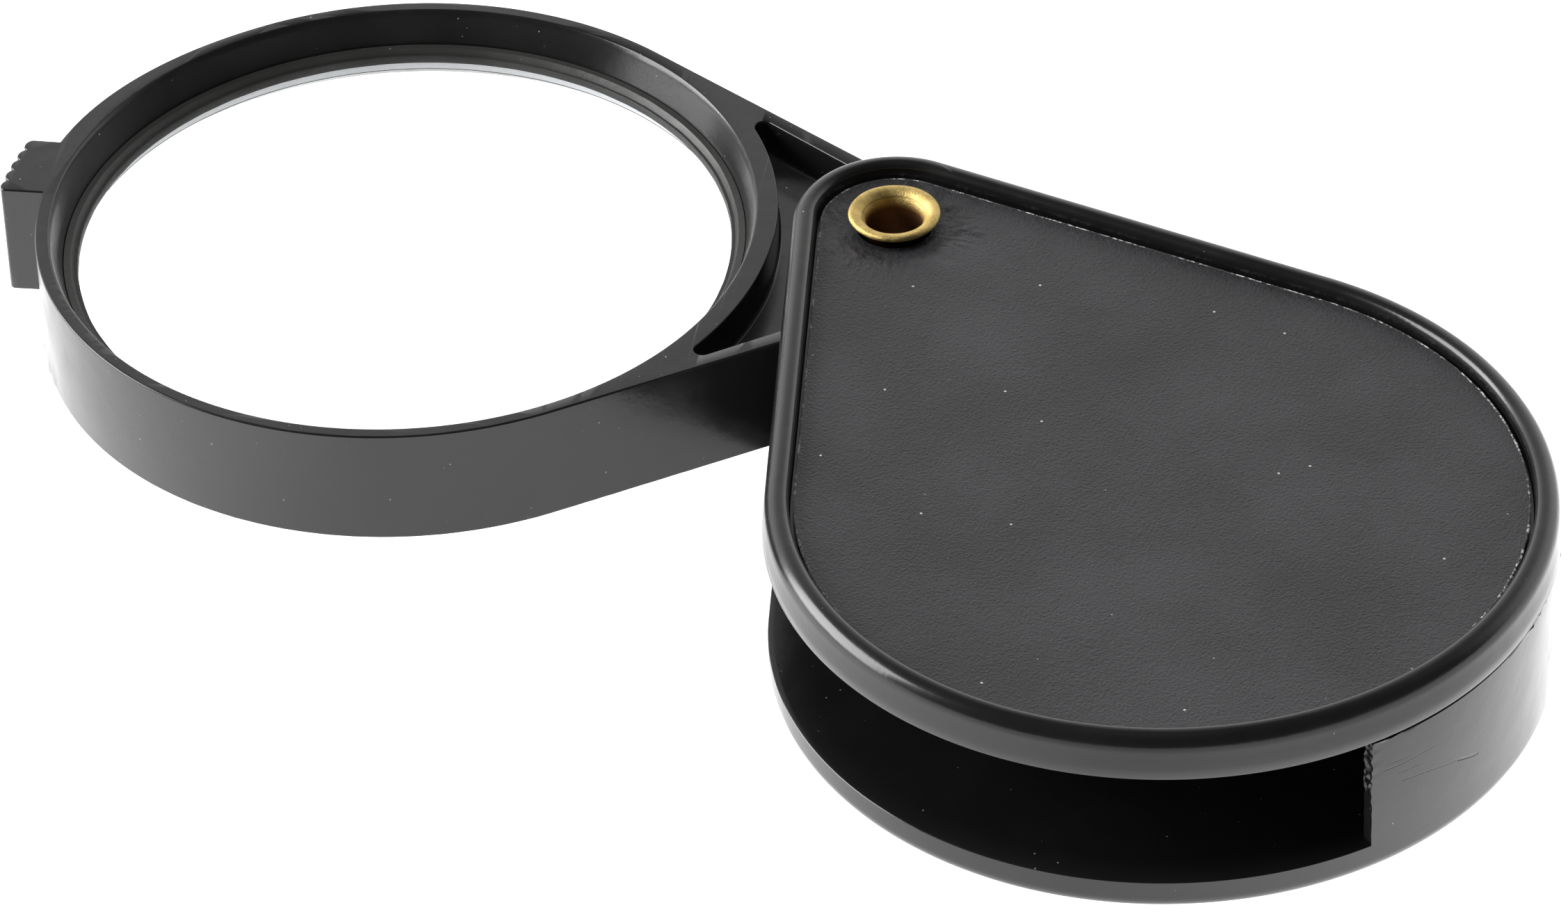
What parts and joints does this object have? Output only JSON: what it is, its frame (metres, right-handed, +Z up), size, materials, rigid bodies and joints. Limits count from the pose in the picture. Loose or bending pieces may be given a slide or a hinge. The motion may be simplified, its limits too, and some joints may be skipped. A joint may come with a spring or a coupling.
{
  "type": "folding pocket magnifier",
  "caption": "Folding pocket magnifier: deep round lens frame with a thumb tab, swung out of a slotted teardrop case on a brass eyelet.",
  "frame": {"origin": "on the table, in the middle of the open part's footprint", "axes": "+Z up, along the hinge; +X from the hinge to the big end of the case; the case's open slot faces -Y"},
  "size_m": [0.1194, 0.087, 0.0157],
  "materials": {
    "case_plastic": "satin black",
    "frame_plastic": "satin black",
    "retainer_plastic": "matte dark grey, slightly rough",
    "grained_sheet": "matte, fine pebble grain",
    "brass": "satin",
    "clear_glass": "polished"
  },
  "bodies": {
    "case": {"case_bottom_shell": "case_plastic", "case_top_cover": "case_plastic", "top_inlay": "grained_sheet", "bottom_inlay": "grained_sheet", "pivot_eyelet": "brass"},
    "lens_carrier": {"lens_frame": "frame_plastic", "lens_retaining_ring": "retainer_plastic", "lens": "clear_glass"}
  },
  "joints": [
    {"name": "frame_hinge", "type": "hinge", "parent": "case", "child": "lens_carrier", "pos_m": [-0.00824, 0.01461, 0.00752], "axis": [0, 0, 1], "range_deg": [-2, 125.7]}
  ]
}
